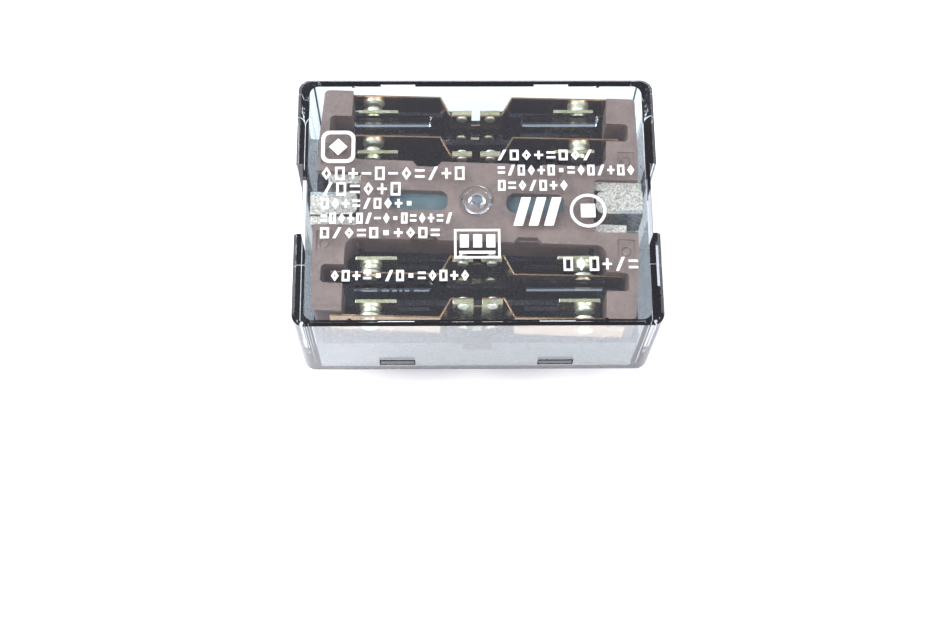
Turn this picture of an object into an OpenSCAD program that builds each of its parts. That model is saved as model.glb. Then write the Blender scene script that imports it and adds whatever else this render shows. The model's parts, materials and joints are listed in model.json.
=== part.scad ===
// Plug-in power relay, four changeover contacts, balanced armature, clear cover.
// Millimetres, +Z up. X runs along the long side, Y to the rear, z = 0 at the blade tips.
// Poles are numbered 1 to 4 from the rear to the front.

/* [Overall] */
// length over the short sides of the cover
body_l = 50; // [46:0.5:60]
// depth over the long sides of the cover
body_w = 36.8; // [34:0.2:46]
// height of the clear cover
cover_h = 19.4; // [18.5:0.1:26]
// height of the black base seen below the cover
band_h = 1.4; // [1:0.1:3]
// height of the stand-off pads under the base
pad_h = 1.2; // [0.6:0.1:3]
// length of the blades below the stand-off pads
blade_drop = 6.5; // [4:0.1:10]
// radius of the upright corners
corner_r = 1.7; // [1:0.1:3]

/* [Cover] */
// wall on the short sides
wall_end = 1.6; // [1.2:0.1:2.2]
// wall on the long sides
wall_long = 0.95; // [0.7:0.05:1.4]
// thickness of the top
top_t = 1; // [0.8:0.1:1.6]
// sloped outer edge of the top
edge_cut = 0.45; // [0.2:0.05:0.7]
// width of the clip recess in each short side
grip_w = 10.4; // [6:0.2:14]
// depth of the clip recess in each short side
grip_d = 1; // [0.4:0.1:1.1]
// width of the opening under each short side
sight_w = 17.2; // [12:0.2:20]
// distance of the latch windows from the middle
latch_x = 11.3; // [8:0.1:13]
// width of a latch window
latch_w = 5.1; // [3:0.1:7]
// height of a latch window
latch_h = 2.2; // [1.6:0.1:3]
// height of a latch window above the edge of the cover
latch_z = 1.9; // [1.2:0.1:3]
// gap above a latch nose in its window
nose_gap = 0.7; // [0.2:0.1:1.2]
// start of the barrier ribs from the middle
rib_in = 6.2; // [6:0.1:8]
// end of the barrier ribs from the middle
rib_out = 17.2; // [16:0.1:17.2]
// thickness of the barrier ribs
rib_t = 1.1; // [0.8:0.1:1.6]
// how far the barrier ribs hang below the top
rib_drop = 1.4; // [0.8:0.1:6]
// position of the thin guide ribs inside the long walls
guide_x = 17; // [15.5:0.1:18]

/* [Base] */
// thickness of the floor above the cover edge
plug_h = 2; // [1.5:0.1:3]
// height of the tub walls along the long sides, above the cover edge
tub_h = 10.9; // [9:0.1:11]
// width of the notch in the middle of a tub wall
notch_w = 4; // [2:0.1:6]
// height of the bottom of the notch above the cover edge
notch_low = 7.9; // [6:0.1:8.8]
// height of the walls along the short sides, above the cover edge
end_h = 4.6; // [4:0.1:6]
// thickness of the tub walls
tub_t = 1; // [0.8:0.1:1.2]
// step of the base below the cover
lip_in = 0.5; // [0.3:0.1:0.8]
// side of a stand-off pad
pad_w = 4; // [3:0.2:5]

/* [Contacts] */
// distance of the outer fixed contacts from the middle
outer_y = 14.25; // [13.9:0.05:14.4]
// distance of the inner fixed contacts from the middle
inner_y = 8; // [7.9:0.05:8.6]
// distance of the fixed contacts from the middle, lengthwise
fixed_x = 13.8; // [13.5:0.1:13.9]
// width of the fixed contact plates
fixed_w = 5.6; // [4:0.1:5.8]
// thickness of the fixed contact plates
fixed_t = 0.5; // [0.4:0.05:0.6]
// gap between fixed plate and spring, midway
spring_off = 1.95; // [1.8:0.05:2.1]
// thickness of the contact springs
spring_t = 0.22; // [0.15:0.01:0.3]
// height of the contact springs
spring_h = 4.8; // [3.5:0.1:5]
// depth of the contacts below the top of the cover
contact_top = 2.4; // [2.1:0.1:3]
// distance of the contact rivets from the middle
rivet_x = 14.6; // [14:0.1:14.8]
// depth of the contact rivets below the top of the contacts
rivet_low = 1.95; // [1.8:0.05:2.6]
// radius of the contact rivet heads
rivet_r = 1.5; // [1:0.05:1.7]
// height of the fixed rivet heads
rivet_h = 0.95; // [0.6:0.05:1.1]
// hinge line of the spring arms from the middle
root_x = 3.6; // [3.5:0.05:4]
// end of the sloped part of the spring arms
bend_x = 5.1; // [4.8:0.05:5.6]
// tip of the spring arms from the middle
tip_x = 20; // [18.5:0.1:20.2]
// width of one lug of a common terminal
lug_w = 2.8; // [2:0.1:2.8]
// gap between the two lugs
lug_gap = 1.2; // [0.8:0.1:1.6]
// depth of the outer lugs below the top of the contacts
lug_low_out = 0.4; // [0:0.05:0.9]
// depth of the inner lugs below the top of the contacts
lug_low_in = 0.65; // [0:0.05:0.9]
// depth of the gap between the lugs, below the springs
slot_low = 4.2; // [2:0.1:5]
// thickness of the common terminals
lug_t = 0.7; // [0.5:0.05:0.75]

/* [Blades] */
// width of the contact blades
blade_w = 5; // [4:0.1:5.2]
// thickness of the blades
blade_t = 0.8; // [0.6:0.05:0.8]
// width of the coil blades
coil_blade_w = 4; // [3:0.1:5]
// distance of the coil blades from the middle
coil_x = 19.6; // [19:0.1:20]

/* [Armature] */
// full swing of the armature in degrees
swing = 4; // [2:0.1:4.4]
// turn of a spring arm for each degree of the armature
spring_ratio = 0.75; // [0.6:0.01:0.8]
// half length of the carrier
carrier_x = 22.3; // [21.5:0.1:22.5]
// reach of the carrier arms
carrier_y = 16.1; // [15:0.05:16.15]
// half width of the carrier body
carrier_mid = 5.9; // [5.4:0.1:6.4]
// gap between the long walls and the thin lips over the tips of the outer springs
lip_gap = 0.93; // [0.9:0.01:1.2]
// inner side of the carrier arms
arm_in = 17.9; // [17.7:0.1:18.4]
// depth of the carrier below the top of the cover
carrier_top = 1.6; // [1.4:0.1:2]
// height of the carrier
carrier_h = 6.4; // [5.5:0.1:6.6]
// thickness of the carrier skin
skin_t = 1.2; // [0.9:0.1:1.4]
// inner faces of the iron plates from the middle
plate_in = 2.5; // [2.3:0.05:2.7]
// thickness of the iron plates
plate_t = 1.4; // [1:0.1:1.5]
// half length of the iron plates
plate_x = 21.8; // [20.6:0.1:22]
// shift of the rear plate to the right and of the front plate to the left
plate_shift = 1.05; // [0:0.05:1.2]
// start of the pole pieces from the middle
pole_in = 16.5; // [16.4:0.1:18]
// length of the shims on the pole pieces
shim_l = 4; // [3:0.1:5]
// thickness of the shims on the pole pieces
shim_t = 0.4; // [0.2:0.05:0.5]
// length of the windows over the magnets
window_l = 8; // [6:0.1:8.4]
// width of the windows over the magnets
window_w = 2.9; // [2:0.1:3.4]
// distance of the windows from the middle
window_x = 8.05; // [7.6:0.05:8.4]
// radius of the pivot pin
pin_r = 0.8; // [0.6:0.05:1]

/* [Coil] */
// outer width of the winding
wind_w = 8.4; // [6:0.1:8.6]
// outer height of the winding
wind_h = 7.4; // [6:0.1:7.6]
// half length of the bobbin
bobbin_x = 15.6; // [14.5:0.1:15.8]
// height of the core bar
core_h = 3.6; // [3:0.1:3.8]

/* [Print] */
// thickness of the printed marks
ink_t = 0.05; // [0.03:0.01:0.1]
// height of the tall printed rows
ink_h = 2; // [1.4:0.05:2.1]
// width of the printed strokes
ink_w = 0.32; // [0.2:0.02:0.4]

/* [Hidden] */
$fn = 48;
eps = 0.02; // overlap inside one solid
slip = 0.05; // clearance of a loose fit, each side
fit = 0.02; // clearance of a close fit, each side
touch = 0.02; // gap of two parts that meet at the end of a stroke
seat_z = blade_drop;
floor_z = seat_z + pad_h;
cover_z = floor_z + band_h;
top_z = cover_z + cover_h;
ceil_z = top_z - top_t;
deck_z = cover_z + plug_h;
in_l = body_l / 2 - wall_end;
in_w = body_w / 2 - wall_long;
in_r = corner_r - wall_long + 0.5;
half = swing / 2;
arm_rest = half * spring_ratio;
car_z1 = top_z - carrier_top;
car_z0 = car_z1 - carrier_h;
plate_z0 = car_z0 + 0.4;
plate_z1 = car_z1 - 0.7;
plate_far = plate_x + plate_shift;
pole_half = plate_in * cos(half) - plate_far * sin(half) - touch;
bar_half = pole_half - 0.2;
con_z1 = top_z - contact_top;
con_z0 = con_z1 - spring_h;
rivet_z = con_z1 - rivet_low;
mount_z = con_z1 - 1.25;
lug_low = [lug_low_out, lug_low_in, lug_low_in, lug_low_out];
slot_z = con_z0 - slot_low;
stake_z = slot_z + 1;
root_off = -lug_t / 2 - spring_t / 2;
spring_in = fixed_t / 2 + spring_off;
arm_len = rivet_x - root_x;
move_h = spring_off - arm_len * sin(arm_rest) - rivet_h - touch;
bridge_t = 1;
bridge_z = car_z0 - 0.2 - bridge_t;
coil_z = (deck_z + bridge_z) / 2;
bob_h = bridge_z - deck_z - 0.1;
bob_w = 9.2;
tub_y = carrier_mid - 0.6;
bar_y = (outer_y + inner_y) / 2 + 1.25;
pole_y = [outer_y, inner_y, inner_y, outer_y];
pole_s = [1, 1, -1, -1];
rows = [outer_y, inner_y];
pin_z1 = ceil_z - 0.2;
boss_z = car_z1 - 0.4;
core_z0 = coil_z - core_h / 2;
core_x = in_l - 0.4;
pole_z1 = ceil_z - 0.9;

// ---- helpers ----

// block with exact round upright edges, centred on the axis
module slab(l, w, h, r) {
    linear_extrude(height = h) pad2(l, w, r);
}

module pad2(l, w, r) {
    square([l - 2 * r, w], center = true);
    square([l, w - 2 * r], center = true);
    for (sx = [-1, 1]) {
        for (sy = [-1, 1]) {
            translate([sx * (l / 2 - r), sy * (w / 2 - r)]) circle(r = r);
        }
    }
}

// box given by its limits
module span(x0, x1, y0, y1, z0, z1) {
    translate([x0, y0, z0]) cube([x1 - x0, y1 - y0, z1 - z0]);
}

// copies a shape of the rear right quarter to another quarter
module flip(sx, sy) {
    if (sx > 0 && sy > 0) children();
    if (sx < 0 && sy > 0) mirror([1, 0, 0]) children();
    if (sx > 0 && sy < 0) mirror([0, 1, 0]) children();
    if (sx < 0 && sy < 0) rotate([0, 0, 180]) children();
}

module four() {
    for (sx = [-1, 1]) {
        for (sy = [-1, 1]) flip(sx, sy) children();
    }
}

// flat blade tip with sloped corners, width along X, thickness along Y
module blade(w, t, z1) {
    translate([0, t / 2, 0]) rotate([90, 0, 0]) linear_extrude(height = t)
        polygon([[-w / 2 + 0.9, 0], [w / 2 - 0.9, 0], [w / 2, 1.4], [w / 2, z1], [-w / 2, z1],
            [-w / 2, 1.4]]);
}

// ---- base and cover ----

module base() {
    color([0.05, 0.05, 0.06]) difference() {
        union() {
            translate([0, 0, floor_z])
                slab(body_l - 2 * lip_in, body_w - 2 * lip_in, band_h, corner_r - 0.3);
            translate([0, 0, cover_z - 0.45])
                slab(body_l - 2 * slip, body_w - 2 * slip, 0.45, corner_r);
            translate([0, 0, cover_z - eps])
                slab(2 * (in_l - slip), 2 * (in_w - slip), plug_h + eps, in_r);
            base_walls();
            four() base_quarter();
        }
        base_cuts();
    }
}

module base_walls() {
    for (s = [-1, 1]) {
        // tub walls along the long sides
        span(-in_l + 1.2, in_l - 1.2, s * (in_w - slip - tub_t / 2) - tub_t / 2,
            s * (in_w - slip - tub_t / 2) + tub_t / 2, deck_z - eps, cover_z + tub_h);
        // walls along the short sides
        span(s * (in_l - slip - tub_t / 2) - tub_t / 2, s * (in_l - slip - tub_t / 2) + tub_t / 2,
            -in_w + 1.2, in_w - 1.2, deck_z - eps, min(cover_z + end_h, core_z0 - 0.2));
        // coil trough
        span(-15.6, 15.6, s * (tub_y + 0.45) - 0.45, s * (tub_y + 0.45) + 0.45, deck_z - eps, bridge_z);
        // barriers between the poles
        span(-19, 19, s * bar_y - 0.4, s * bar_y + 0.4, deck_z - eps,
            min(ceil_z - rib_drop, car_z0) - 0.4);
        // rests below the ends of the core
        span(s * (core_x - 0.9) - 0.8, s * (core_x - 0.9) + 0.8, -bar_half, bar_half,
            deck_z - eps, core_z0 - 0.1);
    }
}

module base_quarter() {
    // stand-off pad
    translate([body_l / 2 - 3.6, body_w / 2 - 3.4, seat_z]) slab(pad_w, pad_w, pad_h + eps, 0.6);
    // latch nose
    span(latch_x - latch_w / 2 + 0.15, latch_x + latch_w / 2 - 0.15, in_w - slip - 0.3,
        in_w + wall_long - 0.06, cover_z + latch_z + 0.15, cover_z + latch_z + latch_h - nose_gap);
    // corner posts
    translate([in_l - 3, in_w - 3.2, deck_z - eps]) cylinder(r = 1.1, h = 5);
    for (y = rows) {
        // holder of a fixed contact
        span(fixed_x - fixed_w / 2 - 0.7, fixed_x + fixed_w / 2 + 0.7, y - 1.1, y + 1.1,
            deck_z - eps, con_z0 - 3.2);
        // rib behind the fixed contact
        span(rib_in + 0.4, arm_in - 2.2, y - fixed_t / 2 - 0.95, y - fixed_t / 2 - 0.35, deck_z - eps,
            min(con_z0 - 0.6, car_z0 - 0.2));
        // holder of a common terminal
        span(-eps, lug_gap / 2 + lug_w + 0.8, y - 1, y + 1, deck_z - eps, slot_z - 0.3);
    }
}

module base_cuts() {
    for (s = [-1, 1]) {
        // clip recess and light slots under the short sides
        span(s * (body_l / 2 + 1) - 1 - grip_d, s * (body_l / 2 + 1) + 1 + grip_d, -grip_w / 2 - slip,
            grip_w / 2 + slip, floor_z - 1, cover_z + 1);
        span(s * (in_l + (wall_end - grip_d) / 2) - (wall_end - grip_d) / 2 - slip,
            s * (in_l + (wall_end - grip_d) / 2) + (wall_end - grip_d) / 2 + slip,
            -sight_w / 2, sight_w / 2, floor_z - 1, cover_z + 1);
        // sight notch in the middle of a tub wall
        span(-notch_w / 2, notch_w / 2, s * (in_w - slip - tub_t / 2) - tub_t / 2 - 0.1,
            s * (in_w - slip - tub_t / 2) + tub_t / 2 + 0.1, cover_z + notch_low, top_z);
        // coil blades
        span(s * coil_x - blade_t / 2 - fit, s * coil_x + blade_t / 2 + fit, -coil_blade_w / 2 - fit,
            coil_blade_w / 2 + fit, floor_z - 1, top_z);
    }
    for (k = [0:3]) {
        for (x = [-fixed_x, 0, fixed_x]) {
            translate([x, pole_s[k] * pole_y[k], 0])
                span(-blade_w / 2 - fit, blade_w / 2 + fit, -blade_t / 2 - fit, blade_t / 2 + fit,
                    floor_z - 1, top_z);
        }
        for (x = [-fixed_x, fixed_x]) {
            translate([x, pole_s[k] * pole_y[k], 0])
                span(-fixed_w / 2 - fit, fixed_w / 2 + fit, -blade_t / 2 - fit, blade_t / 2 + fit,
                    deck_z + 1, top_z);
        }
        translate([0, pole_s[k] * pole_y[k], 0])
            span(-lug_gap / 2 - lug_w - fit, lug_gap / 2 + lug_w + fit, -blade_t / 2 - fit,
                blade_t / 2 + fit, deck_z + 1, top_z);
    }
}

module cover() {
    color([0.86, 0.92, 0.9]) difference() {
        union() {
            difference() {
                cover_block();
                translate([0, 0, cover_z - 1]) slab(2 * in_l, 2 * in_w, ceil_z - cover_z + 1, in_r);
            }
            four() cover_quarter();
            // bearing boss for the pivot pin
            translate([0, 0, boss_z + 0.15]) rotate_extrude() polygon([[0, 0.3], [pin_r + fit, 0.3],
                [1.2, 0], [1.6, 0], [2.15, 0.45], [2.15, ceil_z - boss_z - 0.15 + eps],
                [0, ceil_z - boss_z - 0.15 + eps]]);
        }
        // clip recesses
        for (s = [-1, 1]) {
            span(s * (body_l / 2 + 1) - 1 - grip_d, s * (body_l / 2 + 1) + 1 + grip_d,
                -grip_w / 2, grip_w / 2, cover_z - 1, top_z + 1);
        }
        // latch windows
        four() span(latch_x - latch_w / 2, latch_x + latch_w / 2, in_w - 1, in_w + 2,
            cover_z + latch_z, cover_z + latch_z + latch_h);
        translate([0, 0, boss_z - 1]) cylinder(r = pin_r + fit, h = pin_z1 + fit - boss_z + 1);
    }
}

module cover_block() {
    hull() {
        translate([0, 0, cover_z]) slab(body_l, body_w, cover_h - edge_cut, corner_r);
        translate([0, 0, cover_z])
            slab(body_l - 2 * edge_cut, body_w - 2 * edge_cut, cover_h, corner_r - edge_cut / 2);
    }
}

module cover_quarter() {
    translate([(rib_in + rib_out) / 2, bar_y, ceil_z - rib_drop])
        slab(rib_out - rib_in, rib_t, rib_drop + eps, rib_t / 2 - 0.01);
    span(guide_x, guide_x + 0.5, in_w - 0.2, in_w + eps, cover_z + tub_h + 0.2, ceil_z + eps);
}

// ---- coil and iron circuit ----

module core() {
    color([0.55, 0.55, 0.54]) difference() {
        union() {
            span(-core_x + 1, core_x - 1, -bar_half, bar_half, core_z0, core_z0 + core_h);
            for (s = [-1, 1]) {
                translate([0, 0, core_z0 - 0.1]) linear_extrude(height = pole_z1 - core_z0 + 0.1)
                    pole_plan(s);
            }
        }
        // seat of the thin shim on the side where the gap is open
        for (s = [-1, 1]) {
            span(s * (core_x - shim_l / 2) - shim_l / 2 - fit, s * (core_x - shim_l / 2) + shim_l / 2 + fit,
                s * -pole_half - shim_t - fit, s * -pole_half + shim_t + fit, plate_z0 - 1, top_z);
        }
    }
}

// pole piece from above, round towards the coil
module pole_plan(s) {
    span2(s * (core_x + pole_in + 1) / 2, (core_x - pole_in - 1) / 2, pole_half);
    span2(s * (pole_in + 1), 1, pole_half - 1);
    for (y = [-1, 1]) translate([s * (pole_in + 1), y * (pole_half - 1)]) circle(r = 1);
}

// rectangle given by its middle on the X axis and its half sizes
module span2(x, hx, hy) {
    translate([x - hx, -hy]) square([2 * hx, 2 * hy]);
}

// thin non-magnetic shim on the open side of a pole piece
module shim(s) {
    color([0.85, 0.85, 0.83])
        span(s * (core_x - shim_l / 2) - shim_l / 2, s * (core_x - shim_l / 2) + shim_l / 2,
            s * (shim_t / 2 - pole_half) - shim_t / 2, s * (shim_t / 2 - pole_half) + shim_t / 2,
            plate_z0 - 0.6, pole_z1 - 0.1);
}

module bobbin() {
    color([0.88, 0.86, 0.8]) difference() {
        union() {
            for (s = [-1, 1]) {
                span(s * (bobbin_x - 0.45) - 0.45, s * (bobbin_x - 0.45) + 0.45, -bob_w / 2, bob_w / 2,
                    coil_z - bob_h / 2, coil_z + bob_h / 2);
            }
            span(-bobbin_x + 0.5, bobbin_x - 0.5, -bar_half - 0.7, bar_half + 0.7,
                coil_z - core_h / 2 - 0.7, coil_z + core_h / 2 + 0.7);
        }
        span(-bobbin_x - 1, bobbin_x + 1, -bar_half - fit, bar_half + fit,
            coil_z - core_h / 2 - fit, coil_z + core_h / 2 + fit);
    }
}

module ring_x(x0, x1, w, h, r, iw, ih) {
    translate([x0, 0, coil_z]) rotate([90, 0, 90]) linear_extrude(height = x1 - x0) difference() {
        pad2(w, h, r);
        square([iw, ih], center = true);
    }
}

module winding() {
    color([0.62, 0.3, 0.14])
        ring_x(-bobbin_x + 0.95, bobbin_x - 0.95, wind_w - 0.3, wind_h - 0.3, 2.2,
            2 * bar_half + 1.4 + 2 * fit, core_h + 1.4 + 2 * fit);
}

module coil_tape() {
    color([0.75, 0.62, 0.2]) translate([-bobbin_x + 1.6, 0, coil_z]) rotate([90, 0, 90])
        linear_extrude(height = 2 * bobbin_x - 3.2) difference() {
            pad2(wind_w, wind_h, 2.35);
            pad2(wind_w - 0.3 + 2 * 0.01, wind_h - 0.3 + 2 * 0.01, 2.2);
        }
}

module coil_terminal(s) {
    color([0.8, 0.8, 0.78]) translate([s * coil_x, 0, 0]) rotate([0, 0, 90])
        blade(coil_blade_w, blade_t, core_z0 - 0.5);
}

module coil_lead(s) {
    reach = coil_x - blade_t / 2 - bobbin_x;
    color([0.62, 0.3, 0.14]) translate([s * (bobbin_x + reach / 2), 1.9, deck_z + 0.5])
        rotate([0, 90, 0]) cylinder(r = 0.16, h = reach - 2 * fit, center = true, $fn = 16);
}

module bearing_bridge() {
    color([0.07, 0.07, 0.08]) difference() {
        translate([0, 0, bridge_z]) slab(2 * bobbin_x, 2 * tub_y + 1.8, bridge_t, 0.8);
        translate([0, 0, bridge_z + 0.2]) cylinder(r = pin_r + fit, h = 2);
    }
}

module pivot_pin() {
    color([0.78, 0.78, 0.76]) translate([0, 0, bridge_z + 0.2]) union() {
        cylinder(r = pin_r, h = pin_z1 - bridge_z - 0.2 - 0.15);
        translate([0, 0, pin_z1 - bridge_z - 0.35 - eps])
            cylinder(r1 = pin_r, r2 = pin_r - 0.13, h = 0.15 + eps);
    }
}

// ---- fixed contacts and common terminals ----

module fixed_contact(k, s) {
    color([0.85, 0.78, 0.5]) flip(s, pole_s[k]) translate([fixed_x, pole_y[k], 0]) difference() {
        union() {
            blade(blade_w, blade_t, deck_z + 1.2);
            span(-fixed_w / 2, fixed_w / 2, -fixed_t / 2, fixed_t / 2, deck_z + 1 + fit, con_z1);
        }
        translate([rivet_x - fixed_x, 0, rivet_z]) rotate([90, 0, 0])
            cylinder(r = 0.7 + 0.01, h = 3, center = true);
    }
}

// fixed silver rivet, dome towards the spring
module fixed_rivet_shape() {
    translate([rivet_x, fixed_t / 2, rivet_z]) rotate([-90, 0, 0]) rotate_extrude()
        polygon([[0, -fixed_t - 0.3], [1.15, -fixed_t - 0.3], [1.15, -fixed_t], [0.7, -fixed_t], [0.7, 0],
            [rivet_r, 0], [rivet_r, 0.22], [rivet_r - 0.25, 0.4], [rivet_r - 0.25, rivet_h - 0.3],
            [rivet_r - 0.05, rivet_h - 0.15], [rivet_r - 0.3, rivet_h - 0.03], [0, rivet_h]]);
}

module fixed_rivets() {
    color([0.8, 0.8, 0.78]) for (k = [0:3]) {
        for (s = [-1, 1]) flip(s, pole_s[k]) translate([0, pole_y[k], 0]) fixed_rivet_shape();
    }
}

module common_terminal(k) {
    color([0.85, 0.78, 0.5]) flip(1, pole_s[k]) translate([0, pole_y[k], 0]) difference() {
        union() {
            blade(blade_w, blade_t, deck_z + 1.2);
            span(-lug_gap / 2 - lug_w, lug_gap / 2 + lug_w, -lug_t / 2, lug_t / 2,
                deck_z + 1 + fit, slot_z);
            for (s = [-1, 1]) {
                span(s * (lug_gap + lug_w) / 2 - lug_w / 2, s * (lug_gap + lug_w) / 2 + lug_w / 2,
                    -lug_t / 2, lug_t / 2, slot_z - eps, con_z1 - lug_low[k]);
            }
        }
        stud_holes([mount_z, stake_z]);
    }
}

// holes for the rivets of the two lugs, at the heights of a list
module stud_holes(list) {
    for (s = [-1, 1]) {
        for (z = list) {
            translate([s * (lug_gap + lug_w) / 2, 0, z]) rotate([90, 0, 0])
                cylinder(r = 0.45 + 0.01, h = 3, center = true);
        }
    }
}

module spring_mount(k) {
    color([0.75, 0.45, 0.28]) flip(1, pole_s[k]) translate([0, pole_y[k] + root_off, 0]) difference() {
        span(-root_x + spring_t / 2 + 0.03, root_x - spring_t / 2 - 0.03, -spring_t / 2, spring_t / 2,
            con_z0, con_z1 - max(lug_low[k], 0.2));
        stud_holes([mount_z]);
        span(-lug_gap / 2, lug_gap / 2, -1, 1, con_z0 + 1.4, con_z1);
    }
}

// small rivet through a lug, with a head on both sides
module stud(grip) {
    rotate([90, 0, 0]) rotate_extrude() polygon([[0, -0.25], [0.6, -0.25], [0.75, -0.12], [0.75, 0],
        [0.45, 0], [0.45, grip], [0.75, grip], [0.75, grip + 0.12], [0.6, grip + 0.25], [0, grip + 0.25]]);
}

module mount_rivets() {
    color([0.8, 0.8, 0.78]) for (k = [0:3]) {
        for (s = [-1, 1]) {
            flip(s, pole_s[k]) translate([(lug_gap + lug_w) / 2, pole_y[k] + lug_t / 2, 0]) {
                translate([0, 0, mount_z]) stud(lug_t + spring_t);
                translate([0, 0, stake_z]) stud(lug_t);
            }
        }
    }
}

// ---- spring arms ----

// strip of the arm as seen from above, in the rear right quarter
module arm_strip() {
    p0 = [root_x + 0.01, root_off];
    p1 = [bend_x, spring_in + spring_t / 2];
    d = (p1 - p0) / norm(p1 - p0);
    n = [-d[1], d[0]] * spring_t / 2;
    m = (n + [0, spring_t / 2]) / (1 + d[0]);
    polygon([p0 + n, p1 + m, [tip_x, p1[1] + spring_t / 2], [tip_x, p1[1] - spring_t / 2], p1 - m, p0 - n]);
}

// turns a piece of a spring arm to the rest pose about its hinge line
module at_rest(k, s) {
    translate([s * root_x, pole_s[k] * (pole_y[k] + root_off), 0]) rotate([0, 0, -arm_rest])
        translate([-s * root_x, -pole_s[k] * (pole_y[k] + root_off), 0])
        flip(s, pole_s[k]) translate([0, pole_y[k], 0]) children();
}

module spring_arm(k, s) {
    color([0.75, 0.45, 0.28]) at_rest(k, s) difference() {
        translate([0, 0, con_z0]) linear_extrude(height = spring_h - 0.2) arm_strip();
        translate([rivet_x, spring_in, rivet_z]) rotate([90, 0, 0])
            cylinder(r = 0.7 + 0.01, h = 3, center = true);
    }
}

module contact_rivet(k, s) {
    color([0.85, 0.85, 0.82]) at_rest(k, s) translate([rivet_x, spring_in, rivet_z])
        rotate([-90, 0, 0]) rotate_extrude() polygon([[0, -move_h], [rivet_r - 0.35, -move_h + 0.03],
            [rivet_r, -move_h + 0.25], [rivet_r, 0], [0.7, 0], [0.7, spring_t], [1.15, spring_t],
            [1.15, spring_t + 0.15], [0.95, spring_t + 0.25], [0, spring_t + 0.25]]);
}

// ---- armature ----

module carrier() {
    color([0.62, 0.56, 0.54]) rotate([0, 0, -half]) difference() {
        union() {
            translate([0, 0, car_z1 - skin_t]) linear_extrude(height = skin_t) carrier_plan();
            // walls outside the iron plates
            for (s = [-1, 1]) {
                span(-15.9, 15.9, s * (plate_in + plate_t + 0.75) - 0.7,
                    s * (plate_in + plate_t + 0.75) + 0.7, car_z0, car_z1 - skin_t + eps);
            }
            // thin lips over the tips of the outer springs
            four() translate([0, 0, con_z1 - 0.05]) linear_extrude(height = car_z1 - con_z1 + 0.05)
                lip_plan();
            // hub round the pin
            span(-3.3, 3.3, -plate_in + 0.01, plate_in - 0.01, car_z0, car_z1 - skin_t + eps);
            four() translate([0, 0, car_z0]) linear_extrude(height = carrier_h - skin_t + eps) arm_plan();
        }
        translate([0, 0, car_z0 - 1]) cylinder(r = pin_r + slip, h = carrier_h + 2);
        translate([0, 0, boss_z]) cylinder(r = 2.45, h = 3);
        four() carrier_panel();
        // channels for the iron plates
        for (s = [-1, 1]) {
            translate([s * plate_shift, s * (plate_in + plate_t / 2), plate_z0 - 1])
                slab(2 * plate_x + 2 * fit, plate_t + 2 * fit, plate_z1 + fit - plate_z0 + 1, 0.25);
        }
    }
}

module carrier_plan() {
    difference() {
        union() {
            square([2 * carrier_x, 2 * carrier_mid], center = true);
            four2() arm_plan();
        }
        for (s = [-1, 1]) {
            translate([s * window_x, 0]) pad2(window_l, window_w, 1.1);
            translate([s * (16.2 + 5), 0]) pad2(10, 2 * (plate_in + plate_t + 0.1), 0.5);
        }
        four2() polygon([[5.2, carrier_mid + 1], [5.2, carrier_mid - 0.2], [5.8, carrier_mid - 0.8],
            [8.4, carrier_mid - 0.8], [9, carrier_mid - 0.2], [9, carrier_mid + 1]]);
    }
}

module four2() {
    for (sx = [-1, 1]) {
        for (sy = [-1, 1]) flip(sx, sy) children();
    }
}

// one corner arm with its pocket for the inner spring, rear right quarter
module arm_plan() {
    difference() {
        union() {
            polygon([[arm_in, carrier_mid - 0.1], [carrier_x, carrier_mid - 0.1], [carrier_x, 9],
                [carrier_x - 0.35, carrier_y - 0.8], [carrier_x - 0.35, carrier_y], [arm_in, carrier_y]]);
            difference() {
                square([arm_in + 0.1, carrier_mid + 1.5]);
                square([arm_in - 1.5, carrier_mid + 2]);
                translate([arm_in - 1.5, carrier_mid + 1.5]) circle(r = 1.5);
                square([arm_in + 1, carrier_mid - 0.1]);
            }
        }
        pocket_plan();
        difference() {
            translate([carrier_x - 1.15, carrier_y - 0.8]) square([2, 2]);
            translate([carrier_x - 1.15, carrier_y - 0.8]) circle(r = 0.8);
        }
    }
}

// outer edge of an arm over the tip of the outer spring
module lip_plan() {
    x1 = carrier_x - 0.34;
    y1 = in_w - lip_gap;
    translate([arm_in, carrier_y - 1.3]) square([x1 - arm_in, y1 - carrier_y + 0.5]);
    translate([arm_in, carrier_y - 1.3]) square([x1 - arm_in - 0.8, y1 - carrier_y + 1.3]);
    translate([x1 - 0.8, y1 - 0.8]) circle(r = 0.8);
}

module pocket_plan() {
    translate([arm_in - 1, inner_y + 1.85]) square([3.45, 2.7]);
    translate([arm_in + 2.45, inner_y + 2.45]) circle(r = 0.6);
    translate([arm_in + 2.45, inner_y + 3.95]) circle(r = 0.6);
    translate([arm_in + 2.45, inner_y + 2.45]) square([0.6, 1.5]);
}

// shallow panel with a round mark in the top of a corner
module carrier_panel() {
    span(carrier_x - 2.9, carrier_x - 0.5, carrier_mid - 0.9, carrier_mid + 2.3, car_z1 - 0.2, car_z1 + 1);
    translate([carrier_x - 1.7, carrier_mid + 0.9, car_z1 - 0.35]) difference() {
        cylinder(r = 0.75, h = 1);
        translate([0, 0, -1]) cylinder(r = 0.5, h = 3);
    }
}

module armature_plate(s) {
    color([0.6, 0.6, 0.58]) rotate([0, 0, -half])
        translate([s * plate_shift, s * (plate_in + plate_t / 2), plate_z0])
            slab(2 * plate_x, plate_t, plate_z1 - plate_z0, 0.25);
}

module magnet(s) {
    color([0.42, 0.48, 0.5]) rotate([0, 0, -half])
        translate([s * window_x, 0, plate_z0])
            slab(window_l + 0.9, 2 * plate_in - 0.02, car_z1 - skin_t - plate_z0 - 0.02, 0.3);
}

// ---- printed marks ----

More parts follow.
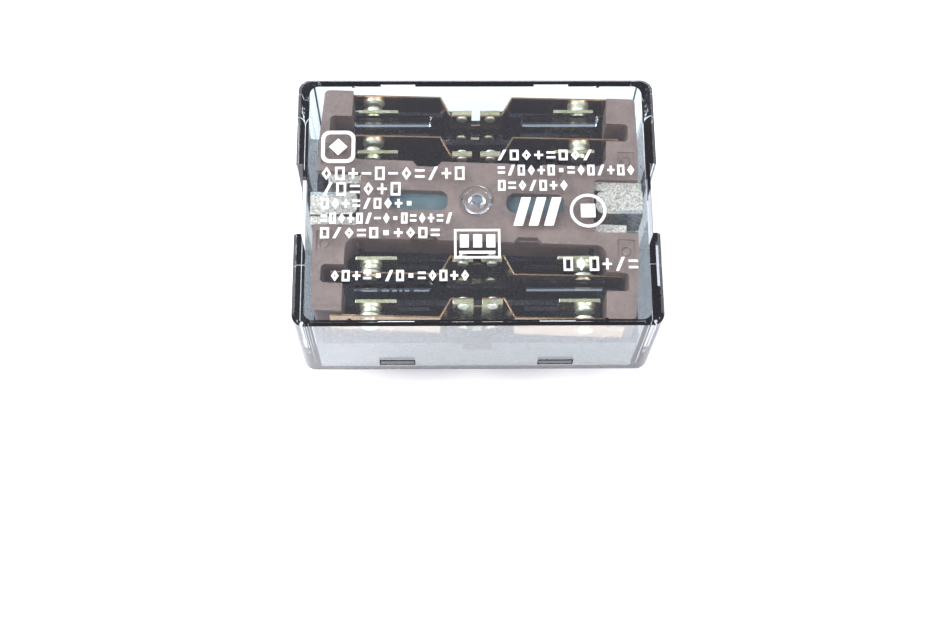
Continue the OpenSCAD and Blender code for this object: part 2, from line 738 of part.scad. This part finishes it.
// one plain sign of a printed row, w by h
module sign(kind, w, h) {
    if (kind == 0) frame_ring(w, h);
    if (kind == 1) difference() {
        polygon([[w / 2, 0], [w, h / 2], [w / 2, h], [0, h / 2]]);
        polygon([[w / 2, 1.6 * ink_w], [w - 1.3 * ink_w, h / 2], [w / 2, h - 1.6 * ink_w],
            [1.3 * ink_w, h / 2]]);
    }
    if (kind == 2) {
        translate([0, h * 0.18]) square([w, ink_w]);
        translate([0, h * 0.64]) square([w, ink_w]);
    }
    if (kind == 3) translate([0, (h - ink_w) / 2]) square([w, ink_w]);
    if (kind == 4) translate([w * 0.2, h / 2 - w * 0.3]) square([w * 0.6, w * 0.6]);
    if (kind == 5) {
        translate([(w - ink_w) / 2, h * 0.1]) square([ink_w, h * 0.8]);
        translate([0, (h - ink_w) / 2]) square([w, ink_w]);
    }
    if (kind == 6) polygon([[0, 0], [1.3 * ink_w, 0], [w, h], [w - 1.3 * ink_w, h]]);
}

module frame_ring(w, h) {
    difference() {
        square([w, h]);
        translate([ink_w, ink_w]) square([w - 2 * ink_w, h - 2 * ink_w]);
    }
}

// row of plain signs from x0 to x1, standing on y
module sign_row(x0, x1, y, h, kinds) {
    pitch = (x1 - x0) / len(kinds);
    for (i = [0:len(kinds) - 1]) translate([x0 + i * pitch, y]) sign(kinds[i], pitch * 0.72, h);
}

module marks_plan() {
    low = ink_h * 0.8;
    sign_row(-21.4, -1.2, 2.75, ink_h, [1, 0, 5, 3, 0, 3, 1, 2, 6, 5, 0]);
    sign_row(-21.2, -10, 0.42, ink_h, [6, 0, 2, 1, 5, 0]);
    sign_row(-21.4, -8.4, -1.55, low, [0, 1, 5, 2, 6, 0, 1, 5, 4]);
    sign_row(-21.4, -3.1, -3.75, low, [2, 0, 1, 5, 0, 6, 3, 1, 4, 0, 2, 1, 5, 2, 6]);
    sign_row(-21.4, -4.7, -5.9, low, [0, 6, 1, 2, 0, 4, 5, 1, 0, 2]);
    sign_row(-19.8, -0.8, -12.15, low, [1, 0, 5, 2, 4, 6, 0, 4, 2, 1, 0, 5, 1]);
    sign_row(2.9, 16.5, 5.7, low, [6, 0, 1, 5, 2, 0, 1, 6]);
    sign_row(2.9, 22.2, 3.4, low, [2, 6, 0, 1, 5, 0, 4, 2, 1, 0, 6, 5, 0, 1]);
    sign_row(2.9, 12.9, 1.1, low, [0, 2, 1, 6, 0, 5, 1]);
    sign_row(11.6, 22.2, -10.75, ink_h, [0, 1, 0, 5, 6, 2]);
    // round-cornered mark at the upper left
    translate([-19.2, 7.8]) difference() {
        pad2(4.7, 4.9, 1.2);
        pad2(3.7, 3.9, 0.8);
    }
    translate([-19.2, 7.8]) rotate([0, 0, 45]) square([1.8, 1.8], center = true);
    // slanted bars
    for (i = [0:2]) translate([4.9 + 2.1 * i, -4.1]) polygon([[0, 0], [1.3, 0], [2.5, 4.2], [1.2, 4.2]]);
    // ring with a square dot
    translate([15.2, -1.9]) difference() {
        circle(r = 2.5);
        circle(r = 2.1);
    }
    translate([14.2, -2.9]) square([2, 2]);
    // frame with bars
    translate([-3.2, -8.9]) frame_ring(6.3, 4.3);
    translate([-2.5, -8.2]) square([4.9, 0.4]);
    for (i = [0:2]) translate([-2.4 + 1.8 * i, -7.3]) square([1.2, 1.9]);
}

module print_marks() {
    color([0.97, 0.97, 0.97]) translate([0, 0, top_z]) linear_extrude(height = ink_t) marks_plan();
}

base();
cover();
bearing_bridge();
pivot_pin();
core();
shim(-1);  // shim_left
shim(1);  // shim_right
bobbin();
winding();
coil_tape();
coil_terminal(-1);  // coil_terminal_left
coil_terminal(1);  // coil_terminal_right
coil_lead(-1);  // coil_lead_left
coil_lead(1);  // coil_lead_right
common_terminal(0);  // common_1
common_terminal(1);  // common_2
common_terminal(2);  // common_3
common_terminal(3);  // common_4
spring_mount(0);  // spring_mount_1
spring_mount(1);  // spring_mount_2
spring_mount(2);  // spring_mount_3
spring_mount(3);  // spring_mount_4
mount_rivets();
fixed_contact(0, -1);  // fixed_contact_1_left
fixed_contact(0, 1);  // fixed_contact_1_right
fixed_contact(1, -1);  // fixed_contact_2_left
fixed_contact(1, 1);  // fixed_contact_2_right
fixed_contact(2, -1);  // fixed_contact_3_left
fixed_contact(2, 1);  // fixed_contact_3_right
fixed_contact(3, -1);  // fixed_contact_4_left
fixed_contact(3, 1);  // fixed_contact_4_right
fixed_rivets();
carrier();
armature_plate(-1);  // armature_plate_front
armature_plate(1);  // armature_plate_rear
magnet(-1);  // magnet_left
magnet(1);  // magnet_right
spring_arm(0, -1);  // spring_1_left
spring_arm(0, 1);  // spring_1_right
spring_arm(1, -1);  // spring_2_left
spring_arm(1, 1);  // spring_2_right
spring_arm(2, -1);  // spring_3_left
spring_arm(2, 1);  // spring_3_right
spring_arm(3, -1);  // spring_4_left
spring_arm(3, 1);  // spring_4_right
contact_rivet(0, -1);  // rivet_1_left
contact_rivet(0, 1);  // rivet_1_right
contact_rivet(1, -1);  // rivet_2_left
contact_rivet(1, 1);  // rivet_2_right
contact_rivet(2, -1);  // rivet_3_left
contact_rivet(2, 1);  // rivet_3_right
contact_rivet(3, -1);  // rivet_4_left
contact_rivet(3, 1);  // rivet_4_right
print_marks();
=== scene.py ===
# Plug-in relay under a clear cover: finishes, softened edges, coil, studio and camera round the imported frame.
import bmesh
import bpy
import json
import math
from mathutils import Matrix, Vector


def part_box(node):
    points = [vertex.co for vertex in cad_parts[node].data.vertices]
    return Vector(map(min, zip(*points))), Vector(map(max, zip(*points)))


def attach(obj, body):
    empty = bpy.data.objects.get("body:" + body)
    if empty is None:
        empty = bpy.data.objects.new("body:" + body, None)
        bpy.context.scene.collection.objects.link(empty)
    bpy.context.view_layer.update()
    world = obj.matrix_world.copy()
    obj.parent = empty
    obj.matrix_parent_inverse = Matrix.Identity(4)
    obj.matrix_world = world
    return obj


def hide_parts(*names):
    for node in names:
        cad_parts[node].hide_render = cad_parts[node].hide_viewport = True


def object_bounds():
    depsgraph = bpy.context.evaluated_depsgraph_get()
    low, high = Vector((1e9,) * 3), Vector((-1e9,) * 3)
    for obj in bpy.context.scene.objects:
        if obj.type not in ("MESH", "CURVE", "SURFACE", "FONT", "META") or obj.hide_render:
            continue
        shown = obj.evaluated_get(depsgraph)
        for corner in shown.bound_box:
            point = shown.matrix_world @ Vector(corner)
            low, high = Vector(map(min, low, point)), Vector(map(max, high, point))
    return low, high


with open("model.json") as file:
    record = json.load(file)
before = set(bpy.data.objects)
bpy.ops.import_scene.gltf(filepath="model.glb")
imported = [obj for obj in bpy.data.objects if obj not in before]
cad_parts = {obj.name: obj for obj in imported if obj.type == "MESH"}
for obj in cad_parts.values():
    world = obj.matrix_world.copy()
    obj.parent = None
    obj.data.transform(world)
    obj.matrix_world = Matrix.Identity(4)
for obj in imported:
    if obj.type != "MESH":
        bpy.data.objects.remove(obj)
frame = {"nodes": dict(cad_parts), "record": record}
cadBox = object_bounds()
nodes = frame["nodes"]
bodies = frame["record"]["behaviour"]["bodies"]
bodyOf = {node: body for body, members in bodies.items() for node in members}
slotOf = {part["node"]: part["material_slot"] for part in frame["record"]["subparts"]}
millimetre = 0.001
print("frame loaded:", len(nodes), "nodes")


def toLinear(hexColour):  # sRGB hex to the linear values that shaders take
    channels = [int(hexColour[at:at + 2], 16) / 255 for at in (1, 3, 5)]
    return [c / 12.92 if c <= 0.04045 else ((c + 0.055) / 1.055) ** 2.4 for c in channels] + [1.0]


def addNode(tree, kind, settings=None, links=None):  # settings are sockets or properties, links its inputs
    node = tree.nodes.new(kind)
    for key, value in (settings or {}).items():
        if isinstance(key, int) or key in node.inputs:
            node.inputs[key].default_value = value
        else:
            setattr(node, key, value)
    for socket, source in (links or {}).items():
        tree.links.new(source, node.inputs[socket])
    return node


def perMetre(size):  # pattern scale for a feature of this size in millimetres
    return 1 / (size * millimetre)


def linkObject(name, data):
    item = bpy.data.objects.new(name, data)
    bpy.context.scene.collection.objects.link(item)
    return item


noiseDetail = {"cloud": 3.0, "grain": 4.0, "flow": 1.0, "haze": 5.0}  # finer layers in each noise
noiseSpan = {"From Min": 0.3, "From Max": 0.7}  # where most of a noise lies
hazeSpan = {"From Min": 0.35, "From Max": 0.75}
fleckSpan = {"From Min": 0.62, "From Max": 0.25}  # the darker a cell's random shade, the stronger its fleck
lacquerRough = 0.12  # of the clear coat, where a finish has one
mixShare, mixUnder, mixOver, mixColour = 0, 6, 7, 2  # sockets of a Mix node that mixes colours


def startMaterial(name):  # an empty material, and the point on the piece that its patterns read
    material = bpy.data.materials.new(name)
    material.use_nodes = True
    tree = material.node_tree
    tree.nodes.clear()
    return material, tree, addNode(tree, "ShaderNodeTexCoord").outputs["Object"]


def grainedFinish(name, look):  # clouds and flecks set the colour, grain the gloss, grain and cells the relief
    material, tree, place = startMaterial(name)
    stretched = addNode(tree, "ShaderNodeMapping", {"Scale": look.get("along", (1, 1, 1))}, {"Vector": place})
    along = stretched.outputs["Vector"]
    cloud = addNode(tree, "ShaderNodeTexNoise",
                    {"Scale": perMetre(look["cloud"]), "Detail": noiseDetail["cloud"]}, {"Vector": place})
    grain = addNode(tree, "ShaderNodeTexNoise",
                    {"Scale": perMetre(look["grain"]), "Detail": noiseDetail["grain"]}, {"Vector": along})
    speck = addNode(tree, "ShaderNodeTexVoronoi", {"Scale": perMetre(look["speck"])}, {"Vector": along})
    spread = addNode(tree, "ShaderNodeMapRange", noiseSpan, {"Value": cloud.outputs["Fac"]})
    tone = addNode(tree, "ShaderNodeMix",
                   {"data_type": "RGBA", mixUnder: toLinear(look["dark"]), mixOver: toLinear(look["light"])},
                   {mixShare: spread.outputs["Result"]})
    spot = addNode(tree, "ShaderNodeMapRange", {**fleckSpan, "To Max": look["specks"]},
                   {"Value": speck.outputs["Color"]})
    colour = addNode(tree, "ShaderNodeMix", {"data_type": "RGBA", mixOver: toLinear(look["fleck"])},
                     {mixShare: spot.outputs["Result"], mixUnder: tone.outputs[mixColour]})
    rough = addNode(tree, "ShaderNodeMapRange",
                    {**noiseSpan, "To Min": look["rough"][0], "To Max": look["rough"][1]},
                    {"Value": grain.outputs["Fac"]})
    cells = addNode(tree, "ShaderNodeMath", {"operation": "MULTIPLY", 1: look["pits"]},
                    {0: speck.outputs["Distance"]})
    height = addNode(tree, "ShaderNodeMath", {"operation": "ADD"},
                     {0: grain.outputs["Fac"], 1: cells.outputs["Value"]})
    bump = addNode(tree, "ShaderNodeBump",
                   {"Strength": look["bump"], "Distance": look["relief"] * millimetre},
                   {"Height": height.outputs["Value"]})
    shader = addNode(tree, "ShaderNodeBsdfPrincipled",
                     {"Metallic": look.get("metal", 0.0), "Coat Weight": look.get("coat", 0.0),
                      "Coat Roughness": lacquerRough},
                     {"Base Color": colour.outputs[mixColour], "Roughness": rough.outputs["Result"],
                      "Normal": bump.outputs["Normal"]})
    addNode(tree, "ShaderNodeOutputMaterial", {}, {"Surface": shader.outputs["BSDF"]})
    return material


def clearMoulding(name, look):  # clear and nearly smooth, with slow flow ripples
    material, tree, place = startMaterial(name)
    flow = addNode(tree, "ShaderNodeTexNoise",
                   {"Scale": perMetre(look["flow"]), "Detail": noiseDetail["flow"]}, {"Vector": place})
    haze = addNode(tree, "ShaderNodeTexNoise",
                   {"Scale": perMetre(look["haze"]), "Detail": noiseDetail["haze"]}, {"Vector": place})
    rough = addNode(tree, "ShaderNodeMapRange",
                    {**hazeSpan, "To Min": look["rough"][0], "To Max": look["rough"][1]},
                    {"Value": haze.outputs["Fac"]})
    bump = addNode(tree, "ShaderNodeBump",
                   {"Strength": look["bump"], "Distance": look["relief"] * millimetre},
                   {"Height": flow.outputs["Fac"]})
    shader = addNode(tree, "ShaderNodeBsdfPrincipled",
                     {"Base Color": toLinear(look["tint"]), "Transmission Weight": 1.0, "IOR": look["ior"]},
                     {"Roughness": rough.outputs["Result"], "Normal": bump.outputs["Normal"]})
    clear = addNode(tree, "ShaderNodeBsdfTransparent", {"Color": toLinear(look["shade"])})
    path = addNode(tree, "ShaderNodeLightPath")
    mixed = addNode(tree, "ShaderNodeMixShader", {},  # light passes the cover tinted, without caustics
                    {0: path.outputs["Is Shadow Ray"], 1: shader.outputs["BSDF"], 2: clear.outputs["BSDF"]})
    addNode(tree, "ShaderNodeOutputMaterial", {}, {"Surface": mixed.outputs["Shader"]})
    return material


# sizes in millimetres: cloud is slow colour change, grain the fine texture, speck the cells that carry the
# flecks; along stretches grain and speck down the length of a strip
finishes = {
    # glossy black phenolic, compression moulded: deep black with a faint violet cast and soft highlights
    "blackPhenolic": {
        "dark": "#0b0a11", "light": "#171522", "fleck": "#2a2737", "specks": 0.25, "rough": (0.22, 0.36),
        "cloud": 5, "grain": 0.35, "speck": 0.3, "pits": 0.2, "bump": 0.2, "relief": 0.02},
    # taupe filled polyester, injection moulded: matt, warm grey-brown, with pale filler flecks
    "taupePolyester": {
        "dark": "#614c48", "light": "#765e59", "fleck": "#8c756e", "specks": 0.3, "rough": (0.48, 0.62),
        "cloud": 3.5, "grain": 0.3, "speck": 0.28, "pits": 0.4, "bump": 0.35, "relief": 0.02},
    # soft iron, blasted and nickel plated: warm light grey, sparkling, dark pits; grit drawn coarse
    "blastedIron": {
        "dark": "#bfb3ab", "light": "#e9dcd4", "fleck": "#8b837c", "specks": 0.8, "rough": (0.3, 0.6),
        "cloud": 0.35, "grain": 0.1, "speck": 0.19, "pits": 1.2, "bump": 0.9, "relief": 0.05, "metal": 1.0},
    # steel pin, ground: bright and neutral, with a fine cloudy grain
    "groundSteel": {
        "dark": "#a8abb0", "light": "#dcdee2", "fleck": "#6f7276", "specks": 0.5, "rough": (0.16, 0.3),
        "cloud": 0.4, "grain": 0.12, "speck": 0.3, "pits": 0.3, "bump": 0.5, "relief": 0.03, "metal": 1.0},
    # sintered ferrite, ground flat: slate grey-blue, dull, with very fine pores
    "sinteredFerrite": {
        "dark": "#46545a", "light": "#56656b", "fleck": "#3a454a", "specks": 0.35, "rough": (0.42, 0.6),
        "cloud": 2.5, "grain": 0.2, "speck": 0.2, "pits": 0.5, "bump": 0.3, "relief": 0.02},
    # brass strip, rolled, cut and lightly tarnished: pale straw yellow, streaked along the plate
    "rolledBrass": {
        "dark": "#ede5b4", "light": "#fbf6d6", "fleck": "#c8bd84", "specks": 0.35, "rough": (0.18, 0.3),
        "cloud": 1.2, "grain": 0.12, "speck": 0.35, "pits": 0.3, "bump": 0.3, "relief": 0.02, "metal": 1.0,
        "along": (0.2, 1, 1)},
    # phosphor bronze strip, rolled hard: pale copper-gold faces, streaked lengthwise
    "rolledBronze": {
        "dark": "#c79a72", "light": "#e4bd96", "fleck": "#ad7c58", "specks": 0.25, "rough": (0.13, 0.24),
        "cloud": 2.5, "grain": 0.1, "speck": 0.5, "pits": 0.2, "bump": 0.2, "relief": 0.01, "metal": 1.0,
        "along": (0.1, 1, 1)},
    # silver alloy contacts, cold headed: cream-white metal, slightly frosted
    "headedSilver": {
        "dark": "#f1eddc", "light": "#fdfaf0", "fleck": "#d3cfbe", "specks": 0.3, "rough": (0.36, 0.5),
        "cloud": 0.8, "grain": 0.15, "speck": 0.3, "pits": 0.3, "bump": 0.2, "relief": 0.02, "metal": 1.0},
    # non-magnetic steel shim, rolled bright: near-white metal with faint lengthwise streaks
    "rolledShim": {
        "dark": "#dcdedd", "light": "#f6f7f6", "fleck": "#b5b7b6", "specks": 0.2, "rough": (0.2, 0.34),
        "cloud": 1.5, "grain": 0.12, "speck": 0.3, "pits": 0.2, "bump": 0.2, "relief": 0.01, "metal": 1.0,
        "along": (0.2, 1, 1)},
    # tinned brass blades, hot dipped: light grey, softly rippled
    "tinnedBrass": {
        "dark": "#b4b5b2", "light": "#d8d9d6", "fleck": "#989a96", "specks": 0.3, "rough": (0.24, 0.42),
        "cloud": 1.8, "grain": 0.4, "speck": 0.5, "pits": 0.3, "bump": 0.4, "relief": 0.03, "metal": 1.0},
    # natural nylon, injection moulded: milky ivory, satin
    "naturalNylon": {
        "dark": "#cfc7b1", "light": "#e2dcca", "fleck": "#bdb49c", "specks": 0.2, "rough": (0.4, 0.55),
        "cloud": 3, "grain": 0.35, "speck": 0.4, "pits": 0.2, "bump": 0.2, "relief": 0.02},
    # enamelled copper wire: red-brown metal under a clear lacquer
    "enamelledCopper": {
        "dark": "#7c3716", "light": "#b0602f", "fleck": "#5d260f", "specks": 0.3, "rough": (0.18, 0.32),
        "cloud": 0.8, "grain": 0.2, "speck": 0.4, "pits": 0.2, "bump": 0.2, "relief": 0.02, "metal": 1.0,
        "coat": 0.5},
    # polyester coil tape, wound tight: amber yellow, smooth, with faint wrinkles
    "amberTape": {
        "dark": "#a07a22", "light": "#cda83f", "fleck": "#8a651a", "specks": 0.2, "rough": (0.18, 0.3),
        "cloud": 2.5, "grain": 0.8, "speck": 0.9, "pits": 0.3, "bump": 0.3, "relief": 0.04,
        "along": (0.3, 1, 1)},
    # pad-printing ink: opaque white, matt, faintly mottled
    "printedInk": {
        "dark": "#eceaec", "light": "#ffffff", "fleck": "#d9d6da", "specks": 0.15, "rough": (0.5, 0.65),
        "cloud": 0.6, "grain": 0.12, "speck": 0.2, "pits": 0.2, "bump": 0.2, "relief": 0.005},
}
# polycarbonate, injection moulded and polished: water clear, a cool cast in its edges, very slight ripples
coverLook = {"tint": "#f0f8fa", "shade": "#eaf2f2", "ior": 1.585, "rough": (0.0, 0.03), "flow": 9,
             "haze": 0.6, "bump": 0.04, "relief": 0.05}
finishOfSlot = {
    "black_base": "blackPhenolic", "clear_cover": "clearPolycarbonate", "taupe_carrier": "taupePolyester",
    "rough_iron": "blastedIron", "pin_steel": "groundSteel", "bright_shim": "rolledShim",
    "magnet_grey": "sinteredFerrite", "pale_brass": "rolledBrass", "spring_copper": "rolledBronze",
    "contact_silver": "headedSilver", "tinned_blade": "tinnedBrass", "bobbin_plastic": "naturalNylon",
    "copper_winding": "enamelledCopper", "yellow_tape": "amberTape", "white_ink": "printedInk",
}
made = {name: grainedFinish(name, look) for name, look in finishes.items()}
made["clearPolycarbonate"] = clearMoulding("clearPolycarbonate", coverLook)
for name, node in nodes.items():
    node.data.materials.clear()
    node.data.materials.append(made[finishOfSlot[slotOf[name]]])
print("finishes on:", len(made))

weldGap = 0.002  # points closer than this, in millimetres, are one
flatAngle = math.radians(1.5)  # neighbouring facets closer than this are one flat face
sharpAngle = math.radians(38)  # edges sharper than this are broken
creaseAngle = math.radians(25)  # edges sharper than this stay crisp in the shading


def readMesh(piece):  # the piece's mesh with its modifiers worked in
    mesh = bpy.data.meshes.new_from_object(piece.evaluated_get(bpy.context.evaluated_depsgraph_get()))
    piece.modifiers.clear()
    piece.data = mesh
    return mesh


def takeOver(piece, name):  # the piece moves with the node's body and stands in for it
    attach(piece, bodyOf[name])
    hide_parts(name)


def welded(name):  # working mesh of a node, its loose triangles joined
    work = bmesh.new()
    work.from_mesh(nodes[name].data)
    bmesh.ops.remove_doubles(work, verts=work.verts, dist=weldGap * millimetre)
    return work


def linkFinished(name, work):  # the worked mesh as a new object in the node's finish
    mesh = nodes[name].data.copy()
    work.to_mesh(mesh)
    work.free()
    return linkObject(name + "_finished", mesh)


ribLook = {"edge": 0.28, "steps": 4,  # moulded round along the lower edge of the cover's barrier ribs
           "level": 0.01,  # points of a rim lie within this height of each other
           "bossReach": 4}  # pin radii round the axis that belong to the bearing boss


def roundRibs(look):  # the cover with only the lower rims of its barrier ribs rounded
    work = welded("cover")
    weight = work.edges.layers.float.new("bevel_weight_edge")
    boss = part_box("pivot_pin")[1].x * look["bossReach"]
    farX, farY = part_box("fixed_contact_1_right")[1].x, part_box("common_1")[0].y
    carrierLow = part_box("carrier")[0].z
    lowest = min(v.co.z for v in work.verts
                 if boss < abs(v.co.x) < farX and boss < abs(v.co.y) < farY and v.co.z > carrierLow)
    for edge in work.edges:
        level = all(abs(v.co.z - lowest) < look["level"] * millimetre for v in edge.verts)
        if level and edge.calc_face_angle(0) > sharpAngle:
            edge[weight] = 1.0
    piece = linkFinished("cover", work)
    rim = piece.modifiers.new("ribRim", "BEVEL")
    rim.width = look["edge"] * millimetre
    rim.segments = look["steps"]
    rim.limit_method = "WEIGHT"
    mesh = readMesh(piece)
    for face in mesh.polygons:  # only the rims shade smoothly, so the walls stay optically flat
        face.use_smooth = 0 < face.center.z - lowest < look["edge"] * millimetre
    takeOver(piece, "cover")
    print("rib rims rounded:", len(mesh.polygons), "faces")


roundRibs(ribLook)

# radius of the broken edge in millimetres, by the start of the piece's name
edgeLook = {"base": 0.12, "carrier": 0.1, "core": 0.12, "armature_plate": 0.1, "common": 0.06,
            "fixed_contact": 0.05, "spring": 0.03, "bearing_bridge": 0.12}
edgeSteps = 2
faceWeight = 100  # large faces decide the shading and rounds follow them


def breakEdges(name, radius):  # copy of a node with its sharp edges rounded
    work = welded(name)
    bmesh.ops.dissolve_limit(work, angle_limit=flatAngle, verts=work.verts, edges=work.edges)
    piece = linkFinished(name, work)
    edge = piece.modifiers.new("brokenEdge", "BEVEL")
    edge.width = radius * millimetre
    edge.segments = edgeSteps
    edge.limit_method = "ANGLE"
    edge.angle_limit = sharpAngle
    edge.miter_outer = "MITER_ARC"
    mesh = readMesh(piece)
    for face in mesh.polygons:
        face.use_smooth = True
    mesh.set_sharp_from_angle(angle=creaseAngle)
    even = piece.modifiers.new("evenNormals", "WEIGHTED_NORMAL")
    even.weight = faceWeight
    even.keep_sharp = True
    readMesh(piece)
    takeOver(piece, name)


softPieces = [(name, radius) for name in nodes
              for start, radius in edgeLook.items() if name.startswith(start)]
for name, radius in softPieces:
    breakEdges(name, radius)
print("edges broken on", len(softPieces), "pieces")

# sizes in millimetres; the wire is drawn three times its real thickness, so that its turns show
coilLook = {"wire": 0.36, "corner": 2.0, "cornerSteps": 5, "wireSides": 6}


def addInput(tree, name, kind):
    return tree.interface.new_socket(name=name, in_out="INPUT", socket_type=kind).identifier


def coilTree(look):  # rounded loops of wire side by side along X
    tree = bpy.data.node_groups.new("coilTurns", "GeometryNodeTree")
    ids = {"turns": addInput(tree, "Turns", "NodeSocketInt"),
           "pitch": addInput(tree, "Pitch", "NodeSocketFloat"),
           "start": addInput(tree, "Start", "NodeSocketVector"),
           "wide": addInput(tree, "Loop Width", "NodeSocketFloat"),
           "high": addInput(tree, "Loop Height", "NodeSocketFloat"),
           "corner": addInput(tree, "Corner Radius", "NodeSocketFloat"),
           "wire": addInput(tree, "Wire Radius", "NodeSocketFloat")}
    tree.interface.new_socket(name="Geometry", in_out="OUTPUT", socket_type="NodeSocketGeometry")
    given = addNode(tree, "NodeGroupInput").outputs
    loop = addNode(tree, "GeometryNodeCurvePrimitiveQuadrilateral", {},
                   {"Width": given["Loop Width"], "Height": given["Loop Height"]})
    rounded = addNode(tree, "GeometryNodeFilletCurve", {"mode": "POLY", "Count": look["cornerSteps"]},
                      {"Curve": loop.outputs["Curve"], "Radius": given["Corner Radius"]})
    upright = addNode(tree, "GeometryNodeTransform", {"Rotation": (math.pi / 2, 0, math.pi / 2)},
                      {"Geometry": rounded.outputs["Curve"]})
    ring = addNode(tree, "GeometryNodeCurvePrimitiveCircle", {"Resolution": look["wireSides"]},
                   {"Radius": given["Wire Radius"]})
    turn = addNode(tree, "GeometryNodeCurveToMesh", {},
                   {"Curve": upright.outputs["Geometry"], "Profile Curve": ring.outputs["Curve"]})
    step = addNode(tree, "ShaderNodeCombineXYZ", {}, {"X": given["Pitch"]})
    row = addNode(tree, "GeometryNodeMeshLine", {},
                  {"Count": given["Turns"], "Start Location": given["Start"],
                   "Offset": step.outputs["Vector"]})
    spread = addNode(tree, "GeometryNodeInstanceOnPoints", {},
                     {"Points": row.outputs["Mesh"], "Instance": turn.outputs["Mesh"]})
    real = addNode(tree, "GeometryNodeRealizeInstances", {}, {"Geometry": spread.outputs["Instances"]})
    smooth = addNode(tree, "GeometryNodeSetShadeSmooth", {}, {"Geometry": real.outputs["Geometry"]})
    painted = addNode(tree, "GeometryNodeSetMaterial", {"Material": made["enamelledCopper"]},
                      {"Geometry": smooth.outputs["Geometry"]})
    addNode(tree, "NodeGroupOutput", {}, {"Geometry": painted.outputs["Geometry"]})
    return tree, ids


def windCoil(look):
    low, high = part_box("winding")
    wire = look["wire"] * millimetre
    turns = int((high.x - low.x) / wire)
    piece = linkObject("winding_turns", bpy.data.meshes.new("windingTurns"))
    tree, ids = coilTree(look)
    wind = piece.modifiers.new("wind", "NODES")
    wind.node_group = tree
    values = {"turns": turns, "pitch": (high.x - low.x - wire) / (turns - 1),
              "start": (low.x + wire / 2, 0, (low.z + high.z) / 2), "wide": high.y - low.y - wire,
              "high": high.z - low.z - wire, "corner": look["corner"] * millimetre, "wire": wire / 2}
    for key, value in values.items():
        wind[ids[key]] = value
    readMesh(piece)
    takeOver(piece, "winding")
    print("coil wound:", turns, "turns,", len(piece.data.polygons), "faces")


windCoil(coilLook)

# places and sizes in metres; both panels face the aim, at mid height in the relay
studioLook = {"paper": "#fbfbff", "paperGlow": 0.22, "paperRough": 0.95, "size": 4.0,
              "sky": "#f1efff", "skyStrength": 0.62, "aim": (0, 0, 0.02),
              "keyPlace": (-0.35, 0.05, 0.45), "keySize": 0.4, "keyWatts": 3.8,
              "fillPlace": (0.4, -0.15, 0.4), "fillSize": 0.4, "fillWatts": 2.4}


def makeStudio(look):
    half = look["size"] / 2
    low = cadBox[0].z
    corners = [(-half, -half, low), (half, -half, low), (half, half, low), (-half, half, low)]
    mesh = bpy.data.meshes.new("paper")
    mesh.from_pydata(corners, [], [(0, 1, 2, 3)])
    floor = linkObject("paper", mesh)
    material = bpy.data.materials.new("mattPaper")
    material.use_nodes = True
    paper = material.node_tree.nodes["Principled BSDF"].inputs
    paper["Base Color"].default_value = toLinear(look["paper"])
    paper["Roughness"].default_value = look["paperRough"]
    paper["Emission Color"].default_value = toLinear(look["paper"])
    paper["Emission Strength"].default_value = look["paperGlow"]
    mesh.materials.append(material)
    world = bpy.data.worlds.new("studioSky")
    bpy.context.scene.world = world
    world.use_nodes = True
    sky = world.node_tree.nodes["Background"].inputs
    sky["Color"].default_value = toLinear(look["sky"])
    sky["Strength"].default_value = look["skyStrength"]
    for name in ("key", "fill"):
        data = bpy.data.lights.new(name + "Panel", "AREA")
        data.energy = look[name + "Watts"]
        data.size = look[name + "Size"]
        panel = linkObject(name + "Panel", data)
        panel.location = look[name + "Place"]
        panel.rotation_euler = (Vector(look["aim"]) - panel.location).to_track_quat("-Z", "Y").to_euler()


# the camera leans over the front of the relay, 220 mm above the paper: lens, sensor and place in millimetres,
# near and far in metres; right and forward are the directions of its axes
cameraLook = {"lens": 57.5, "sensor": 36.0, "near": 0.005, "far": 10.0, "place": (-4.300, -84.466, 219.605),
              "right": (0.999814, -0.009645, 0.016697), "forward": (0.018952, 0.331839, -0.943146)}


def placeCamera(look):
    data = bpy.data.cameras.new("camera")
    data.lens = look["lens"]
    data.sensor_width = look["sensor"]
    data.clip_start = look["near"]
    data.clip_end = look["far"]
    back = -Vector(look["forward"]).normalized()
    right = Vector(look["right"]).normalized()
    matrix = Matrix((right, back.cross(right).normalized(), back)).transposed().to_4x4()
    matrix.translation = Vector(look["place"]) * millimetre
    camera = linkObject("camera", data)
    camera.matrix_world = matrix
    bpy.context.scene.camera = camera


makeStudio(studioLook)
placeCamera(cameraLook)
bpy.context.scene.view_settings.view_transform = "Standard"
print("studio set")
